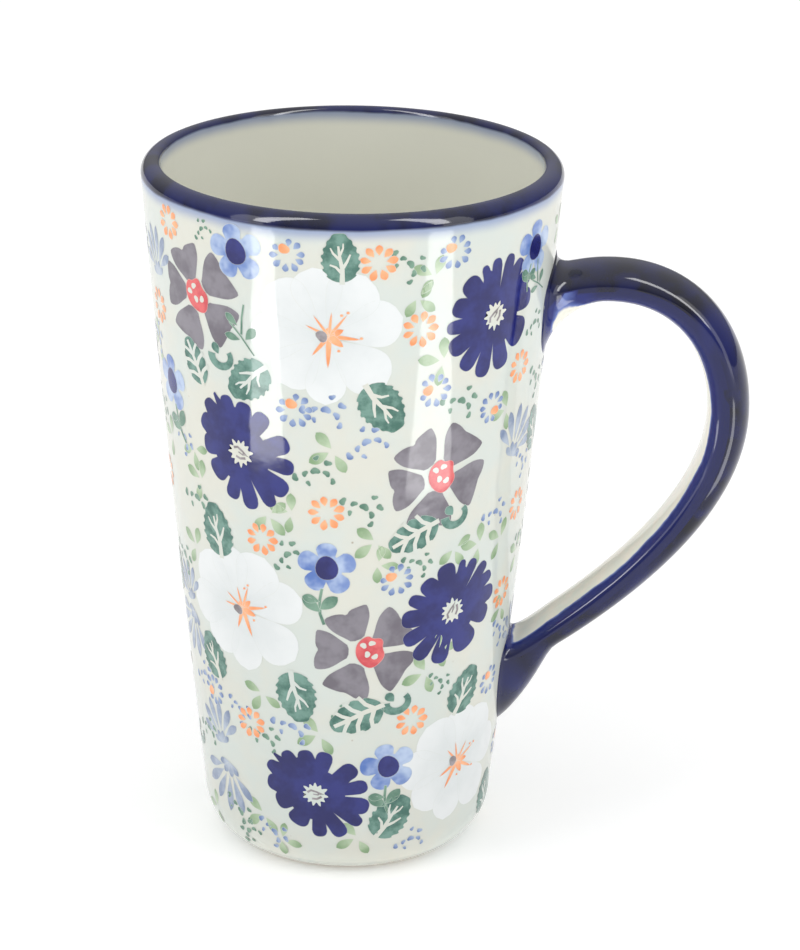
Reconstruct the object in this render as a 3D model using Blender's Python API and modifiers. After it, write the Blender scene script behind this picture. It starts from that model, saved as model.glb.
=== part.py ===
"""A tall tapered stoneware mug: a turned cup body and a strap handle that is luted on with slip.

Metres, +Z up. The mug stands on z = 0, its handle points along +X, and the origin is under the
middle of the whole object, so the axis of the cup lies at x = AXIS_X.
"""

from math import copysign, cos, pi, radians, sin, sqrt

import bmesh
import bpy
from mathutils import Vector

# Cup body
RIM_DIAMETER = 0.090
MUG_HEIGHT = 0.1563
WALL_THICKNESS = 0.0042
WALL_BULGE = 0.0005
LIP_OUTER_ROUND = 0.0029
LIP_INNER_ROUND = 0.0013
BASE_THICKNESS = 0.005
INNER_CORNER_WIDTH = 0.010
INNER_CORNER_HEIGHT = 0.011

# Heel and foot
HEEL_DIAMETER = 0.0650
HEEL_HEIGHT = 0.0118
FOOT_DIAMETER = 0.0490
FOOT_RING_WIDTH = 0.0050
FOOT_RECESS = 0.0025
FOOT_BEVEL = 0.0005

# Handle, whose side view is a curve from the upper root, out round the bow, to the lower root
HANDLE_WIDTH = 0.0150
UPPER_THICKNESS = 0.0084
BOW_THICKNESS = 0.0092
LOWER_THICKNESS = 0.0072
HANDLE_REACH = 0.0390
BOW_BELOW_RIM = 0.0547
UPPER_ROOT_BELOW_RIM = 0.0273
UPPER_ROOT_ANGLE = radians(18)
UPPER_ROOT_SWEEP = 0.0257
BOW_SWEEP_UP = 0.0206
BOW_SWEEP_DOWN = 0.0229
LOWER_ROOT_ABOVE_TABLE = 0.0425
LOWER_ROOT_ANGLE = radians(33)
LOWER_ROOT_SWEEP = 0.0255

# Roots: how far each end of the handle spreads over the wall, past the handle's own section
UPPER_SPREAD_OUTER = 0.0036
UPPER_SPREAD_INNER = 0.0110
UPPER_SPREAD_SIDE = 0.0040
LOWER_SPREAD_OUTER = 0.0122
LOWER_SPREAD_INNER = 0.0030
LOWER_SPREAD_SIDE = 0.0020
LOWER_SWELL_LENGTH = 0.0092
SIDE_FILLET = 0.0065
ROOT_LEAN = 0.014
INNER_SQUARENESS = 0.72

# Slip, the layer of liquid clay that holds each root on the wall
SLIP_THICKNESS = 0.0010
SLIP_LIP = 0.0006
CLEARANCE = 0.0003

# Fineness of the meshes
TURNED_STEPS = 96
WALL_POINTS = 12
CORNER_POINTS = 7
LIP_POINTS = 6
RING_POINTS = 28
ARM_RINGS = 22
ROOT_RINGS = 3
ROOT_DEPTH = 0.010
RINGS_CLOSER_AT_ROOT = 1.45
MERGE = 0.00001

RIM_RADIUS = RIM_DIAMETER / 2
HEEL_RADIUS = HEEL_DIAMETER / 2
FOOT_RADIUS = FOOT_DIAMETER / 2
FLOOR_HEIGHT = FOOT_RECESS + BASE_THICKNESS
WALL_TOP = MUG_HEIGHT - LIP_OUTER_ROUND
LIP_CREST_RADIUS = RIM_RADIUS - LIP_OUTER_ROUND
UPPER_ROOT_HEIGHT = MUG_HEIGHT - UPPER_ROOT_BELOW_RIM
BOW_HEIGHT = MUG_HEIGHT - BOW_BELOW_RIM


def clear_scene():
    for thing in list(bpy.data.objects):
        bpy.data.objects.remove(thing)


def new_collection(name):
    collection = bpy.data.collections.new(name)
    bpy.context.scene.collection.children.link(collection)
    return collection


def glaze(name, colour, roughness):
    material = bpy.data.materials.new(name)
    material.use_nodes = True
    shader = material.node_tree.nodes["Principled BSDF"]
    shader.inputs["Base Color"].default_value = (*colour, 1)
    shader.inputs["Roughness"].default_value = roughness
    shader.inputs["Metallic"].default_value = 0
    return material


def wall_radius(height):
    """Outer radius of the wall: a straight taper with a slight swell half-way up."""
    share = (height - HEEL_HEIGHT) / (WALL_TOP - HEEL_HEIGHT)
    swell = WALL_BULGE * 4 * share * (1 - share) if 0 < share < 1 else 0
    return HEEL_RADIUS + (RIM_RADIUS - HEEL_RADIUS) * share + swell


def between(low, high, count):
    return [low + (high - low) * i / (count - 1) for i in range(count)]


def body_profile():
    """(radius, height) from the middle of the cup's floor, over the lip, to the middle of its base."""
    corner_top = FLOOR_HEIGHT + INNER_CORNER_HEIGHT
    inner_radius = wall_radius(corner_top) - WALL_THICKNESS
    points = [(0, FLOOR_HEIGHT)]
    for angle in between(-pi / 2, 0, CORNER_POINTS):
        radius = inner_radius - INNER_CORNER_WIDTH + INNER_CORNER_WIDTH * cos(angle)
        points.append((radius, corner_top + INNER_CORNER_HEIGHT * sin(angle)))
    for height in between(corner_top, WALL_TOP, WALL_POINTS)[1:]:
        points.append((wall_radius(height) - WALL_THICKNESS, height))
    for angle in between(pi, pi / 2, LIP_POINTS):
        height = MUG_HEIGHT - LIP_INNER_ROUND + LIP_INNER_ROUND * sin(angle)
        points.append((LIP_CREST_RADIUS + LIP_INNER_ROUND * cos(angle), height))
    for angle in between(pi / 2, 0, LIP_POINTS)[1:]:
        height = MUG_HEIGHT - LIP_OUTER_ROUND + LIP_OUTER_ROUND * sin(angle)
        points.append((LIP_CREST_RADIUS + LIP_OUTER_ROUND * cos(angle), height))
    for height in between(WALL_TOP, HEEL_HEIGHT, WALL_POINTS)[1:]:
        points.append((wall_radius(height), height))
    for angle in between(0, -pi / 2, CORNER_POINTS)[1:]:
        radius = FOOT_RADIUS + (HEEL_RADIUS - FOOT_RADIUS) * cos(angle)
        points.append((radius, HEEL_HEIGHT + (HEEL_HEIGHT - FOOT_BEVEL) * sin(angle)))
    ring_inside = FOOT_RADIUS - FOOT_RING_WIDTH
    points.append((FOOT_RADIUS - FOOT_BEVEL, 0))
    points.append((ring_inside + FOOT_BEVEL, 0))
    points.append((ring_inside, FOOT_BEVEL))
    points.append((ring_inside - FOOT_RECESS / 2, FOOT_RECESS))
    points.append((0, FOOT_RECESS))
    return points


def turned(name, profile, axis_x, collection):
    """A Screw modifier turns the profile about the cup's axis."""
    mesh = bpy.data.meshes.new(name)
    edges = [(i, i + 1) for i in range(len(profile) - 1)]
    mesh.from_pydata([(radius, 0, height) for radius, height in profile], edges, [])
    thing = bpy.data.objects.new(name, mesh)
    thing.location.x = axis_x
    collection.objects.link(thing)
    screw = thing.modifiers.new("Turn", "SCREW")
    screw.steps = TURNED_STEPS
    screw.render_steps = TURNED_STEPS
    screw.use_merge_vertices = True
    screw.merge_threshold = MERGE
    screw.use_smooth_shade = True
    return thing


def wall_core(name, offset, axis_x, collection):
    """A solid core whose side is the cup's outer wall moved out by offset, used to trim what sits on it."""
    top = MUG_HEIGHT + HANDLE_REACH
    bottom = -HANDLE_REACH
    profile = [(0, top)]
    profile += [(wall_radius(height) + offset, height) for height in between(top, WALL_TOP, 3)]
    profile += [(wall_radius(height) + offset, height) for height in between(WALL_TOP, HEEL_HEIGHT, WALL_POINTS)[1:]]
    profile += [(HEEL_RADIUS + offset, bottom), (0, bottom)]
    core = turned(name, profile, axis_x, collection)
    core.hide_render = True
    core.display_type = "WIRE"
    return core


def bezier(start, first, second, end, share):
    rest = 1 - share
    return (
        start * rest**3
        + first * 3 * rest**2 * share
        + second * 3 * rest * share**2
        + end * share**3
    )


def smooth_step(share):
    share = min(max(share, 0), 1)
    return share * share * (3 - 2 * share)


def fillet(distance, length):
    """1 on the wall, falling to 0 at length from it, as a quarter circle does."""
    share = min(max(distance / length, 0), 1)
    return 1 - sqrt(1 - (1 - share) ** 2)


def handle_centre_line():
    """Points (distance from the cup's axis, height) and half thicknesses along the handle's side view."""
    upper_end = Vector((wall_radius(UPPER_ROOT_HEIGHT), UPPER_ROOT_HEIGHT))
    lower_end = Vector((wall_radius(LOWER_ROOT_ABOVE_TABLE), LOWER_ROOT_ABOVE_TABLE))
    bow = Vector((wall_radius(UPPER_ROOT_HEIGHT) + HANDLE_REACH, BOW_HEIGHT))
    upper_way = Vector((cos(UPPER_ROOT_ANGLE), sin(UPPER_ROOT_ANGLE)))
    lower_way = Vector((cos(LOWER_ROOT_ANGLE), sin(LOWER_ROOT_ANGLE)))
    up = Vector((0, 1))
    line = []
    for depth in between(ROOT_DEPTH, 0, ROOT_RINGS)[:-1]:
        line.append((upper_end - upper_way * depth, UPPER_THICKNESS / 2))
    for step in between(0, 1, ARM_RINGS)[:-1]:
        share = step**RINGS_CLOSER_AT_ROOT
        place = bezier(
            upper_end, upper_end + upper_way * UPPER_ROOT_SWEEP, bow + up * BOW_SWEEP_UP, bow, share
        )
        thickness = UPPER_THICKNESS + (BOW_THICKNESS - UPPER_THICKNESS) * smooth_step(share)
        line.append((place, thickness / 2))
    for step in between(0, 1, ARM_RINGS):
        share = 1 - (1 - step) ** RINGS_CLOSER_AT_ROOT
        place = bezier(
            bow, bow - up * BOW_SWEEP_DOWN, lower_end + lower_way * LOWER_ROOT_SWEEP, lower_end, share
        )
        thickness = BOW_THICKNESS + (LOWER_THICKNESS - BOW_THICKNESS) * smooth_step(share)
        line.append((place, thickness / 2))
    for depth in between(0, ROOT_DEPTH, ROOT_RINGS)[1:]:
        line.append((lower_end - lower_way * depth, LOWER_THICKNESS / 2))
    return line


def handle_rings(margin):
    """Sections of the handle, margin larger all round: rounded outside, flatter inside.

    Near the wall a section leans over until it is parallel to the wall, and spreads over it.
    """
    line = handle_centre_line()
    wall_slope = (RIM_RADIUS - HEEL_RADIUS) / (WALL_TOP - HEEL_HEIGHT)
    up_the_wall = Vector((wall_slope, 1)).normalized()
    rings = []
    for i, (place, half_thickness) in enumerate(line):
        before = line[max(i - 1, 0)][0]
        after = line[min(i + 1, len(line) - 1)][0]
        way = (after - before).normalized()
        distance = place.x - wall_radius(place.y)
        if i < len(line) / 2:
            along_wall = up_the_wall
            outer_spread = UPPER_SPREAD_OUTER * fillet(distance, UPPER_SPREAD_OUTER)
            inner_spread = UPPER_SPREAD_INNER * fillet(distance, UPPER_SPREAD_INNER)
            side_spread = UPPER_SPREAD_SIDE * fillet(distance, SIDE_FILLET)
        else:
            along_wall = -up_the_wall
            outer_spread = LOWER_SPREAD_OUTER * smooth_step(1 - distance / LOWER_SWELL_LENGTH)
            inner_spread = LOWER_SPREAD_INNER * fillet(distance, LOWER_SPREAD_INNER)
            side_spread = LOWER_SPREAD_SIDE * fillet(distance, SIDE_FILLET)
        lean = smooth_step(1 - distance / ROOT_LEAN)
        across = Vector((-way.y, way.x)).lerp(along_wall, lean).normalized()
        outer = half_thickness + margin + outer_spread
        inner = half_thickness + margin + inner_spread
        side = HANDLE_WIDTH / 2 + margin + side_spread
        rings.append([section_point(place, across, side, outer, inner, step) for step in range(RING_POINTS)])
    return rings


def section_point(place, across, side, outer, inner, step):
    """One point of a section: an ellipse on its outer half, and a squarer curve on its inner half."""
    angle = 2 * pi * step / RING_POINTS
    if sin(angle) > 0:
        reach = outer * sin(angle)
        width = side * cos(angle)
    else:
        reach = -inner * abs(sin(angle)) ** INNER_SQUARENESS
        width = copysign(side * abs(cos(angle)) ** INNER_SQUARENESS, cos(angle))
    point = place + across * reach
    return (point.x, width, point.y)


def loft(name, rings, axis_x, collection):
    """A closed skin through the rings, with a flat cap on each end."""
    shape = bmesh.new()
    rows = [[shape.verts.new(point) for point in ring] for ring in rings]
    for row, following in zip(rows, rows[1:]):
        for i in range(len(row)):
            j = (i + 1) % len(row)
            shape.faces.new((row[i], row[j], following[j], following[i]))
    shape.faces.new(rows[0])
    shape.faces.new(rows[-1])
    bmesh.ops.recalc_face_normals(shape, faces=shape.faces)
    mesh = bpy.data.meshes.new(name)
    shape.to_mesh(mesh)
    shape.free()
    mesh.shade_smooth()
    mesh.set_sharp_from_angle(angle=radians(50))
    thing = bpy.data.objects.new(name, mesh)
    thing.location.x = axis_x
    collection.objects.link(thing)
    return thing


def trim(thing, operation, other):
    cut = thing.modifiers.new(operation.title(), "BOOLEAN")
    cut.operation = operation
    cut.solver = "EXACT"
    cut.object = other


def main():
    clear_scene()
    mug = new_collection("stoneware_mug")
    cutters = new_collection("cutters")
    cream = glaze("cream_glaze", (0.82, 0.78, 0.68), 0.12)
    cobalt = glaze("cobalt_glaze", (0.02, 0.03, 0.16), 0.10)

    rings = handle_rings(0)
    outermost = max(point[0] for ring in rings for point in ring)
    axis_x = (RIM_RADIUS - outermost) / 2

    body = turned("mug_body", body_profile(), axis_x, mug)
    body.data.materials.append(cream)

    slip_inside = wall_core("slip_inside", CLEARANCE, axis_x, cutters)
    slip_outside = wall_core("slip_outside", CLEARANCE + SLIP_THICKNESS, axis_x, cutters)
    handle_end = wall_core("handle_end", 2 * CLEARANCE + SLIP_THICKNESS, axis_x, cutters)

    handle = loft("handle", rings, axis_x, mug)
    handle.data.materials.append(cobalt)
    trim(handle, "DIFFERENCE", handle_end)

    wide_rings = handle_rings(SLIP_LIP)
    root_rings = ROOT_RINGS + ARM_RINGS // 2
    for name, some_rings in (
        ("upper_slip_joint", wide_rings[:root_rings]),
        ("lower_slip_joint", wide_rings[-root_rings:]),
    ):
        slip = loft(name, some_rings, axis_x, mug)
        slip.data.materials.append(cobalt)
        trim(slip, "INTERSECT", slip_outside)
        trim(slip, "DIFFERENCE", slip_inside)


main()
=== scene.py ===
# %% [markdown]
# # A tall stoneware mug, hand painted
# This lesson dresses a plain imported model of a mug. The frame holds four solids: the turned cup,
# its strap handle and the two thin joints of slip that hold the handle on. Each is replaced by a
# finer skin at the same place and size, and the painted flowers are then laid over the cup.

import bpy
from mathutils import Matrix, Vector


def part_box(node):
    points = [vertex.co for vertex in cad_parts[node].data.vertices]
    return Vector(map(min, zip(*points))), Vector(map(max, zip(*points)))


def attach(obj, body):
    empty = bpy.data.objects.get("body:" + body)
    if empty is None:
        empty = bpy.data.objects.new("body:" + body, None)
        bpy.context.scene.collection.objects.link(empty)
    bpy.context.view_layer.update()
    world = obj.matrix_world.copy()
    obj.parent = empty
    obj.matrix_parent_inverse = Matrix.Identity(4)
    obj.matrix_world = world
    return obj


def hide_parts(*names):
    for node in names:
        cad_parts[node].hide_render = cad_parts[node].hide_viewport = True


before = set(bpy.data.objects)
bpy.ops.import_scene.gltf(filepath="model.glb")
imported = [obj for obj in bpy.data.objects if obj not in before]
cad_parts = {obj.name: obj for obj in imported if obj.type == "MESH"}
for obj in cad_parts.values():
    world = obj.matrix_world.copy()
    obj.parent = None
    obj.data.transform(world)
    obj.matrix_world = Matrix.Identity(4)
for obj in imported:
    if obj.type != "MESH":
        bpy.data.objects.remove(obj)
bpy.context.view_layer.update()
print("solids:", sorted(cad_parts))

# %% Tools used all through
from math import atan2, cos, hypot, log, pi, radians, sin, sqrt

import bmesh
import bpy
from mathutils import Matrix, Vector

MM = 0.001


def work_on(*things):
    """Operators act on all that is selected, so this selects these things and nothing else."""
    if bpy.context.mode != "OBJECT":
        bpy.ops.object.mode_set(mode="OBJECT")
    bpy.ops.object.select_all(action="DESELECT")
    for thing in things:
        thing.select_set(True)
    if things:
        bpy.context.view_layer.objects.active = things[0]


def edit():
    """Opens the active mesh for editing, with all of it selected."""
    bpy.ops.object.mode_set(mode="EDIT")
    bpy.ops.mesh.select_mode(type="VERT")
    select_all()


def select_all():
    bpy.ops.mesh.select_all(action="SELECT")


def settle():
    """Puts the active object's place in its mesh, so that it stands at the origin unturned."""
    bpy.ops.object.transform_apply(location=True, rotation=True, scale=True)


def finish_shape(name, material, smooth=True):
    """Names the active object and gives it its finish."""
    piece = bpy.context.object
    work_on(piece)
    piece.name = name
    piece.data.name = name
    settle()
    if smooth:
        bpy.ops.object.shade_smooth()
    piece.data.materials.append(material)
    return piece


# %% [markdown]
# ## Measures
# The cup's own box in the frame gives its height, its rim and the place of its axis. A mug is
# turned on a wheel, so every other measure of the cup is a radius at a height.

# %% The cup's main measures
cup_low, cup_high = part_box("mug_body")
axis_x = (cup_low[0] + cup_high[0]) / 2
RIM_RADIUS = (cup_high[0] - cup_low[0]) / 2
MUG_HEIGHT = cup_high[2]
WALL = 4.2 * MM
LIP_OUTER_ROUND = 2.9 * MM
LIP_INNER_ROUND = 1.3 * MM
WALL_TOP = MUG_HEIGHT - LIP_OUTER_ROUND
HEEL_RADIUS = 32.5 * MM
HEEL_HEIGHT = 11.8 * MM
FOOT_RADIUS = 24.5 * MM
WALL_SWELL = 0.5 * MM
print("axis at x =", round(axis_x / MM, 2), "mm, rim radius", round(RIM_RADIUS / MM, 2), "mm")


# %% The wall's radius at a height
def wall_radius(height):
    """A straight taper from heel to rim, with a slight swell half-way up."""
    share = (height - HEEL_HEIGHT) / (WALL_TOP - HEEL_HEIGHT)
    swell = WALL_SWELL * 4 * share * (1 - share) if 0 < share < 1 else 0
    return HEEL_RADIUS + (RIM_RADIUS - HEEL_RADIUS) * share + swell


print("radius half-way up:", round(wall_radius(MUG_HEIGHT / 2) / MM, 2), "mm")

# %% [markdown]
# ## Finishes
# Every finish is mixed from nodes. A small helper keeps the recipes short: each call adds one node
# and gives back its output. Patterns read Object coordinates, which here are metres in the frame,
# so a scale of 100 makes features about a centimetre wide.

# %% A helper to mix a finish
class Finish:
    """One material being mixed."""

    def __init__(self, name, roughness, **constants):
        self.material = bpy.data.materials.new(name)
        self.material.use_nodes = True
        self.tree = self.material.node_tree
        self.shader = self.tree.nodes["Principled BSDF"]
        self.shader.inputs["Roughness"].default_value = roughness
        for words, value in constants.items():
            self.shader.inputs[words.replace("_", " ")].default_value = value
        self.place = self.add("TexCoord", {}, "Object")

    def add(self, kind, feeds, output=0, **settings):
        """Adds a node. A feed is a number, a colour or another node's output."""
        node = self.tree.nodes.new("ShaderNode" + kind)
        for setting, value in settings.items():
            setattr(node, setting, value)
        for socket, value in feeds.items():
            if isinstance(value, bpy.types.NodeSocket):
                self.tree.links.new(value, node.inputs[socket])
            else:
                node.inputs[socket].default_value = value
        return node.outputs[output]

    def noise(self, scale, detail=2, roughness=0.5, warp=0):
        feeds = {"Vector": self.place, "Scale": scale, "Detail": detail}
        return self.add("TexNoise", {**feeds, "Roughness": roughness, "Distortion": warp})

    def math(self, operation, first, second):
        return self.add("Math", {0: first, 1: second}, operation=operation)

    def fade(self, value, low, high, to_low=0.0, to_high=1.0):
        """to_low where the value is under low, to_high where it is over high, and smooth between."""
        feeds = {"Value": value, "From Min": low, "From Max": high}
        feeds.update({"To Min": to_low, "To Max": to_high})
        return self.add("MapRange", feeds, interpolation_type="SMOOTHSTEP")

    def blend(self, share, first, second):
        """Mixes two colours: a Mix node takes them at its inputs 6 and 7, and gives output 2."""
        return self.add("Mix", {0: share, 6: first, 7: second}, 2, data_type="RGBA")

    def layer(self, name):
        """A value that the piece itself carries, point by point."""
        return self.add("Attribute", {}, "Fac", attribute_name=name)

    def bump(self, height, distance, strength=1.0, under=None):
        feeds = {"Height": height, "Distance": distance, "Strength": strength}
        if under is not None:
            feeds["Normal"] = under
        return self.add("Bump", feeds)

    def colour(self, value):
        self.feed("Base Color", value)

    def feed(self, socket, value):
        self.tree.links.new(value, self.shader.inputs[socket])


def tint(red, green, blue):
    """A colour as it looks on a screen, from 0 to 255, turned into the linear values of a shader."""
    linear = []
    for share in (red / 255, green / 255, blue / 255):
        linear.append(share / 12.92 if share <= 0.04045 else ((share + 0.055) / 1.055) ** 2.4)
    return (*linear, 1)


print("cream in linear values:", [round(part, 3) for part in tint(238, 236, 222)[:3]])

# %% [markdown]
# ## The clear glaze over cream clay
# The clay is a pale cream under a clear, glassy glaze. Fired glaze is never quite even: it waves
# a little where it ran, it shows a fine warm and cool mottle, and here and there a pinhole where
# a bubble burst. The paints lie under the same glaze, so they share its gloss and its waves.

# %% What all the glazed surfaces share
GLOSS = 0.07
GLAZE_IOR = 1.5
CREAM_WARM, CREAM_COOL = (213, 213, 202), (206, 213, 207)
PINHOLE = tint(150, 128, 100)
MOTTLE_SIZE = 45
PINHOLE_SIZE = 230
PINHOLE_RARITY = 0.80
PINHOLE_STRENGTH = 0.6
WAVE_SIZE = 70
WAVE_DEPTH = 0.22 * MM
FINE_WAVE_SIZE = 420
FINE_WAVE_DEPTH = 0.012 * MM


def glaze_waves(finish):
    """The gentle waves of the fired glaze."""
    wide = finish.bump(finish.noise(WAVE_SIZE, 1), WAVE_DEPTH)
    fine = finish.bump(finish.noise(FINE_WAVE_SIZE, 2), FINE_WAVE_DEPTH, under=wide)
    finish.feed("Normal", fine)


def cream_colour(finish):
    """Cream clay seen through the glaze: a soft mottle and a few pinholes."""
    mottle = finish.fade(finish.noise(MOTTLE_SIZE, 4, 0.6), 0.35, 0.65)
    cream = finish.blend(mottle, tint(*CREAM_WARM), tint(*CREAM_COOL))
    cells = {"Vector": finish.place, "Scale": PINHOLE_SIZE}
    spot = finish.add("TexVoronoi", cells, "Distance")
    chosen = finish.add("TexVoronoi", cells, "Color")
    rare = finish.fade(chosen, PINHOLE_RARITY, PINHOLE_RARITY + 0.04)
    hole = finish.math("MULTIPLY", finish.fade(spot, 0.03, 0.09, 1.0, 0.0), rare)
    return finish.blend(finish.math("MULTIPLY", hole, PINHOLE_STRENGTH), cream, PINHOLE)


# %% [markdown]
# ## The cup's finish
# The lip is banded with cobalt, brushed on while the mug turned on the wheel. Cobalt runs in the
# firing, so the band's lower edge wanders and bleeds a soft blue into the cream below it. Inside,
# the glaze is plain cream, a shade lighter, and the band comes further down. The band follows the
# height, with noise to shift it.

# %% Cream glaze with a cobalt lip
BAND_EDGE = MUG_HEIGHT - 2.9 * MM
BLEED_EDGE = MUG_HEIGHT - 6.6 * MM
BAND_BLUR = 0.35 * MM
BAND_WANDER = 1.2 * MM
WANDER_SIZE = 55
BAND_CLOUD_SIZE = 120
BLEED_CURVE = 1.6
BLEED_STRENGTH = 0.8
INSIDE_CLIMB = 1.8 * MM
COBALT_BAND = tint(24, 31, 84)
COBALT_BAND_DARK = tint(13, 16, 44)
COBALT_BLEED = tint(128, 146, 188)
CREAM_INSIDE = tint(236, 236, 224)


def mix_cup_glaze():
    finish = Finish("cream_glaze_cobalt_lip", GLOSS, IOR=GLAZE_IOR)
    cream = cream_colour(finish)
    level = finish.add("SeparateXYZ", {"Vector": finish.place}, "Z")
    wander = finish.math("SUBTRACT", finish.noise(WANDER_SIZE, 3), 0.5)
    height = finish.math("ADD", level, finish.math("MULTIPLY", wander, BAND_WANDER))
    inner = finish.layer("inside")
    climb = finish.math("MULTIPLY", finish.fade(inner, 0.6, 0.95), INSIDE_CLIMB)
    height = finish.math("SUBTRACT", height, climb)
    cream = finish.blend(inner, cream, CREAM_INSIDE)
    bleed = finish.fade(height, BLEED_EDGE, BAND_EDGE)
    softened = finish.math("MULTIPLY", finish.math("POWER", bleed, BLEED_CURVE), BLEED_STRENGTH)
    bled = finish.blend(softened, cream, COBALT_BLEED)
    cloud = finish.fade(finish.noise(BAND_CLOUD_SIZE, 3), 0.35, 0.62)
    band = finish.blend(cloud, COBALT_BAND_DARK, COBALT_BAND)
    edge = finish.fade(height, BAND_EDGE - BAND_BLUR, BAND_EDGE + BAND_BLUR)
    finish.colour(finish.blend(edge, bled, band))
    glaze_waves(finish)
    return finish.material


CLAY_ROUGHNESS = 0.75
CLAY_DARK, CLAY_LIGHT = tint(196, 184, 160), tint(222, 214, 196)
GRAIN_SIZE = 900
GRAIN_DEPTH = 0.05 * MM


def mix_bare_clay():
    """The foot ring is wiped clean of glaze, or the mug would stick to the kiln shelf."""
    finish = Finish("bare_clay", CLAY_ROUGHNESS, IOR=GLAZE_IOR)
    grain = finish.fade(finish.noise(GRAIN_SIZE, 4, 0.7), 0.3, 0.7)
    finish.colour(finish.blend(grain, CLAY_DARK, CLAY_LIGHT))
    finish.feed("Normal", finish.bump(grain, GRAIN_DEPTH))
    return finish.material


cup_glaze = mix_cup_glaze()
bare_clay = mix_bare_clay()
print("band over the top", round((MUG_HEIGHT - BAND_EDGE) / MM, 2), "mm of the lip")

# %% [markdown]
# ## The cup
# A cup is thrown on a wheel, so it is one profile turned about one axis. By hand in Blender, the
# profile is drawn by extruding a single point, and Spin turns it. That keeps the wall's
# thickness, the round lip and the foot ring true all round, which a sculpted shape wouldn't.

# %% The cup's profile
FLOOR = 7.5 * MM
CORNER_WIDE = 10 * MM
CORNER_HIGH = 11 * MM
RING_WIDTH = 5 * MM
RING_DEPTH = 2.5 * MM
RING_BEVEL = 0.5 * MM
BARE_BELOW = 0.7 * MM
MERGE_WITHIN = 0.002 * MM


def between(low, high, count):
    return [low + (high - low) * step / (count - 1) for step in range(count)]


def cup_profile():
    """(radius, height) from the middle of the floor, over the lip, to the middle of the base."""
    corner_top = FLOOR + CORNER_HIGH
    inner = wall_radius(corner_top) - WALL
    points = [(0, FLOOR), (inner / 4, FLOOR)]
    for angle in between(-pi / 2, 0, 15):
        points.append((inner - CORNER_WIDE * (1 - cos(angle)), corner_top + CORNER_HIGH * sin(angle)))
    for height in between(corner_top, WALL_TOP, 60)[1:]:
        points.append((wall_radius(height) - WALL, height))
    crest = RIM_RADIUS - LIP_OUTER_ROUND
    for angle in between(pi, pi / 2, 13):
        height = MUG_HEIGHT - LIP_INNER_ROUND + LIP_INNER_ROUND * sin(angle)
        points.append((crest + LIP_INNER_ROUND * cos(angle), height))
    for angle in between(pi / 2, 0, 17)[1:]:
        height = MUG_HEIGHT - LIP_OUTER_ROUND + LIP_OUTER_ROUND * sin(angle)
        points.append((crest + LIP_OUTER_ROUND * cos(angle), height))
    for height in between(WALL_TOP, HEEL_HEIGHT, 70)[1:]:
        points.append((wall_radius(height), height))
    for angle in between(0, -pi / 2, 17)[1:]:
        radius = FOOT_RADIUS + (HEEL_RADIUS - FOOT_RADIUS) * cos(angle)
        points.append((radius, HEEL_HEIGHT + (HEEL_HEIGHT - RING_BEVEL) * sin(angle)))
    ring_inside = FOOT_RADIUS - RING_WIDTH
    points += [(FOOT_RADIUS - RING_BEVEL, 0), (ring_inside + RING_BEVEL, 0)]
    points += [(ring_inside, RING_BEVEL), (ring_inside - RING_DEPTH / 2, RING_DEPTH)]
    points += [(ring_inside / 2, RING_DEPTH), (0, RING_DEPTH)]
    return points


profile = cup_profile()
print(len(profile), "points from floor to foot")

# %% Draw it, point by point, and spin it
TURNS = 256


def draw_line(points):
    """A flat plane merged into one point, which is extruded from place to place."""
    work_on()
    (radius, height), rest = points[0], points[1:]
    bpy.ops.mesh.primitive_plane_add(size=MM, location=(axis_x + radius, 0, height))
    settle()
    edit()
    bpy.ops.mesh.merge(type="CENTER")
    for next_radius, next_height in rest:
        step = (next_radius - radius, 0, next_height - height)
        bpy.ops.mesh.extrude_region_move(TRANSFORM_OT_translate={"value": step})
        radius, height = next_radius, next_height


def carry(piece, name, value_of):
    """Writes a value on each point of a piece, for its finish to read."""
    layer = piece.data.attributes.new(name, "FLOAT", "POINT")
    for point, vertex in zip(layer.data, piece.data.vertices):
        point.value = value_of(vertex.co)


draw_line(profile)
select_all()
bpy.ops.mesh.spin(steps=TURNS, angle=2 * pi, center=(axis_x, 0, 0), axis=(0, 0, 1))
select_all()
bpy.ops.mesh.remove_doubles(threshold=MERGE_WITHIN)
bpy.ops.mesh.normals_make_consistent(inside=False)
cup = finish_shape("mug_body_skin", cup_glaze)
cup.data.materials.append(bare_clay)


# %% Tell the inside from the outside, and bare the foot ring
def how_far_inside(place):
    """0 on the outer wall and 1 on the inner one, changing over the lip."""
    radius = hypot(place.x - axis_x, place.y)
    middle = wall_radius(place.z) - WALL / 2
    return min(max((middle - radius) / WALL + 0.5, 0), 1) if place.z > RING_DEPTH + MM else 0


carry(cup, "inside", how_far_inside)
for face in cup.data.polygons:
    if face.center.z < BARE_BELOW:
        face.material_index = 1
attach(cup, "root")
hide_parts("mug_body")
print("cup:", len(cup.data.polygons), "faces")

# %% [markdown]
# ## The handle's finish
# The strap is brushed with thick cobalt on its outer side, while the inner face is left cream, mixed
# lighter than the wall's cream as painted light for the light that falls on that face.
# Thick cobalt is almost black and thin cobalt is a bright blue, so the colour follows how the
# brush left it: the finish reads how far round the strap a point is, which the piece carries.

# %% Cobalt on a strap with a cream inner face
COBALT_THICK = tint(12, 12, 24)
COBALT_THIN = tint(24, 35, 112)
COBALT_WATERY = tint(98, 118, 186)
# The inner face's cream: its own warm cream, made lighter than the wall's as painted light for the
# light on that face.
CREAM_GRIP_PAINTED_LIGHT = tint(246, 238, 224)
CLOUD_SIZE = 60
STREAK_SIZE = 210
GRIP_MOTTLE_SIZE = 300
GRIP_WANDER_SIZE = 140
GRIP_WANDER_MM = 1.6


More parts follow.
